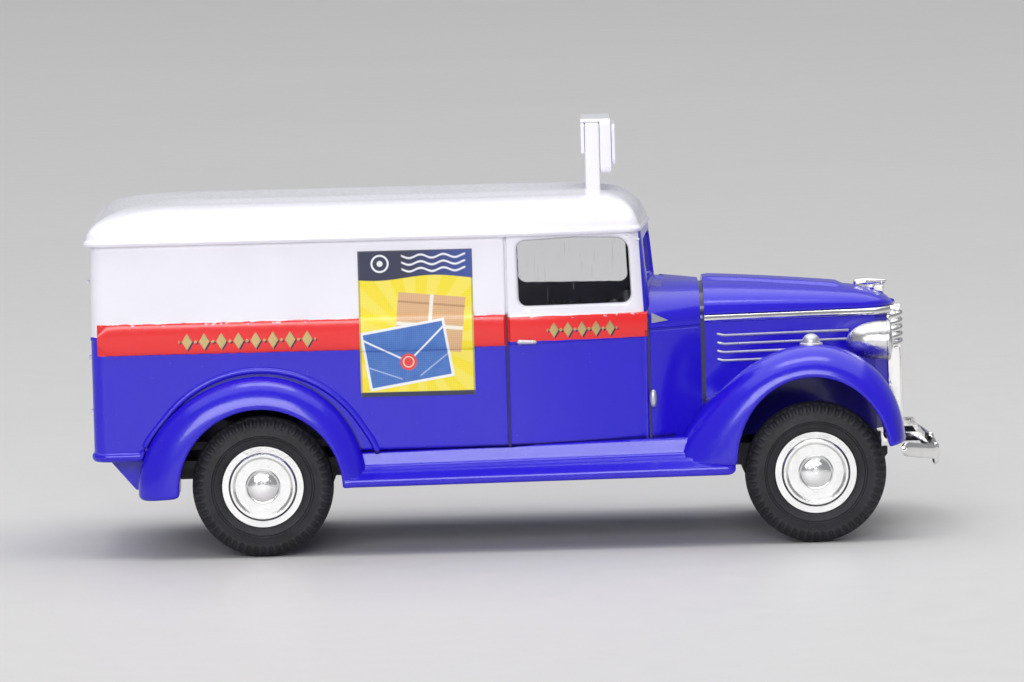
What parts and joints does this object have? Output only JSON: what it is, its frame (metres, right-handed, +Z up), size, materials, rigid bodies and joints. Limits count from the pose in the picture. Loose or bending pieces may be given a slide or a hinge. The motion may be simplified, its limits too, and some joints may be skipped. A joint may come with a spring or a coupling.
{
  "type": "mail delivery truck",
  "caption": "Scale-model panel van with a high boxed cargo body, domed roof, long bonnet, swept fenders, running boards, roof sign and two rolling axles.",
  "frame": {"origin": "bottom centre of the bounding box: on the ground plane, midway along the length and the width", "axes": "+X towards the front of the truck, +Y towards its left side, +Z up"},
  "size_m": [0.1022, 0.0408, 0.0505],
  "materials": {
    "body_paint": "gloss royal blue enamel over die-cast metal, with a red belt band and white upper panels",
    "white_paint": "gloss white enamel",
    "chrome_plate": "bright plating on plastic",
    "silver_paint": "silver paint picked out by hand",
    "black_plastic": "satin moulded black",
    "clear_plastic": "clear moulded polystyrene",
    "printed_sticker": "printed vinyl sticker",
    "tyre_rubber": "matte black rubber",
    "steel_wire": "bright drawn steel"
  },
  "bodies": {
    "truck": {"body_shell": "body_paint", "roof_panel": "white_paint", "bonnet": "body_paint", "nose_shell": "body_paint", "fender_set_right": "body_paint", "fender_set_left": "body_paint", "rear_valance": "body_paint", "base_plate": "black_plastic", "base_screws": "steel_wire", "interior_moulding": "black_plastic", "dashboard": "black_plastic", "steering_column": "black_plastic", "steering_wheel": "black_plastic", "windscreen_glazing": "clear_plastic", "door_window_right": "clear_plastic", "door_window_left": "clear_plastic", "rear_windows": "clear_plastic", "side_poster_right": "printed_sticker", "side_poster_left": "printed_sticker", "grille": "chrome_plate", "headlamp_right": "chrome_plate", "headlamp_left": "chrome_plate", "headlamp_lens_right": "clear_plastic", "headlamp_lens_left": "clear_plastic", "fender_lamp_right": "silver_paint", "fender_lamp_left": "silver_paint", "bonnet_ornament": "chrome_plate", "bonnet_strip_right": "chrome_plate", "bonnet_strip_left": "chrome_plate", "louvre_trim_right": "silver_paint", "louvre_trim_left": "silver_paint", "cowl_vent_right": "silver_paint", "cowl_vent_left": "silver_paint", "door_handles": "silver_paint", "door_hinges": "silver_paint", "rear_door_handle": "silver_paint", "rear_door_hinges": "silver_paint", "front_bumper": "chrome_plate", "bumper_guards": "chrome_plate", "bumper_arms": "chrome_plate", "sign_housing": "white_paint", "sign_face_front": "white_paint", "sign_face_rear": "white_paint", "sign_posts": "white_paint"},
    "front_wheels": {"front_axle": "steel_wire", "wheel_disc_front_right": "chrome_plate", "wheel_disc_front_left": "chrome_plate", "tyre_front_right": "tyre_rubber", "tyre_front_left": "tyre_rubber"},
    "rear_wheels": {"rear_axle": "steel_wire", "wheel_disc_rear_right": "chrome_plate", "wheel_disc_rear_left": "chrome_plate", "tyre_rear_right": "tyre_rubber", "tyre_rear_left": "tyre_rubber"}
  },
  "joints": [
    {"name": "front_axle_spin", "type": "hinge", "parent": "truck", "child": "front_wheels", "pos_m": [0.0355, 0, 0.00845], "axis": [0, 1, 0], "continuous": true},
    {"name": "rear_axle_spin", "type": "hinge", "parent": "truck", "child": "rear_wheels", "pos_m": [-0.0305, 0, 0.00845], "axis": [0, 1, 0], "continuous": true}
  ]
}
